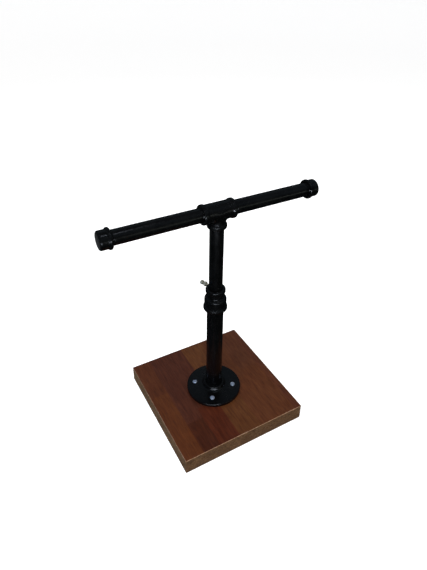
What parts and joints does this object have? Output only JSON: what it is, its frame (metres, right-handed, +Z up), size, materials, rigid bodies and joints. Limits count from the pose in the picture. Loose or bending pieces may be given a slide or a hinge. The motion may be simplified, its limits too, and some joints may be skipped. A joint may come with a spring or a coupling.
{
  "type": "embroidery frame stand",
  "caption": "Table stand with a square board, a height-adjustable and turning iron-pipe post locked by a lock screw, and a horizontal T-bar that carries an embroidery frame.",
  "frame": {"origin": "on the table surface, under the middle of the base board and on the post's axis", "axes": "+Z up along the post, +X along the bar towards the right-hand end cap, +Y to the back"},
  "size_m": [0.3434, 0.216, 0.3892],
  "materials": {
    "chipboard": "raw sawn edges, matt",
    "laminate": "wood-strip pattern laminate, satin",
    "backing": "plain backing sheet, matt",
    "felt": "black felt",
    "cast_black": "black coating on cast iron, slightly rough, satin",
    "pipe_black": "black coating on drawn pipe, satin",
    "zinc": "bright zinc plate",
    "zinc_dull": "dull zinc plate",
    "brass": "turned brass"
  },
  "bodies": {
    "base": {"board_core": "chipboard", "top_laminate": "laminate", "backing_sheet": "backing", "felt_pad_1": "felt", "felt_pad_2": "felt", "felt_pad_3": "felt", "felt_pad_4": "felt", "floor_flange": "cast_black", "flange_screw_1": "zinc", "flange_screw_2": "zinc", "flange_screw_3": "zinc", "flange_screw_4": "zinc", "lower_pipe": "pipe_black", "reducing_collar": "cast_black"},
    "pad": {"lock_pad": "brass"},
    "screw": {"lock_screw": "zinc_dull"},
    "nut": {"lock_nut": "zinc_dull"},
    "post": {"sliding_post": "pipe_black"},
    "head": {"tee": "cast_black", "left_arm": "pipe_black", "right_arm": "pipe_black", "left_cap": "cast_black", "right_cap": "cast_black"}
  },
  "joints": [
    {"name": "post_slide", "type": "slide", "parent": "base", "child": "post", "axis": [0, 0, 1], "range_m": [-0.1044, 0.05]},
    {"name": "bar_turn", "type": "hinge", "parent": "post", "child": "head", "pos_m": [0, 0, 0.36], "axis": [0, 0, 1], "continuous": true},
    {"name": "lock_travel", "type": "slide", "parent": "base", "child": "pad", "axis": [-0.3584, 0.9336, 0], "range_m": [0, 0.002]},
    {"name": "lock_turn", "type": "hinge", "parent": "pad", "child": "screw", "pos_m": [-0.00717, 0.01867, 0.2403], "axis": [-0.3584, 0.9336, 0], "range_deg": [0, 1029]},
    {"name": "nut_turn", "type": "hinge", "parent": "base", "child": "nut", "pos_m": [-0.00731, 0.01904, 0.2403], "axis": [-0.3584, 0.9336, 0], "range_deg": [0, 360]}
  ],
  "couplings": [
    {"joint": "lock_turn", "follows": "lock_travel", "rad_per_m": 8976}
  ]
}
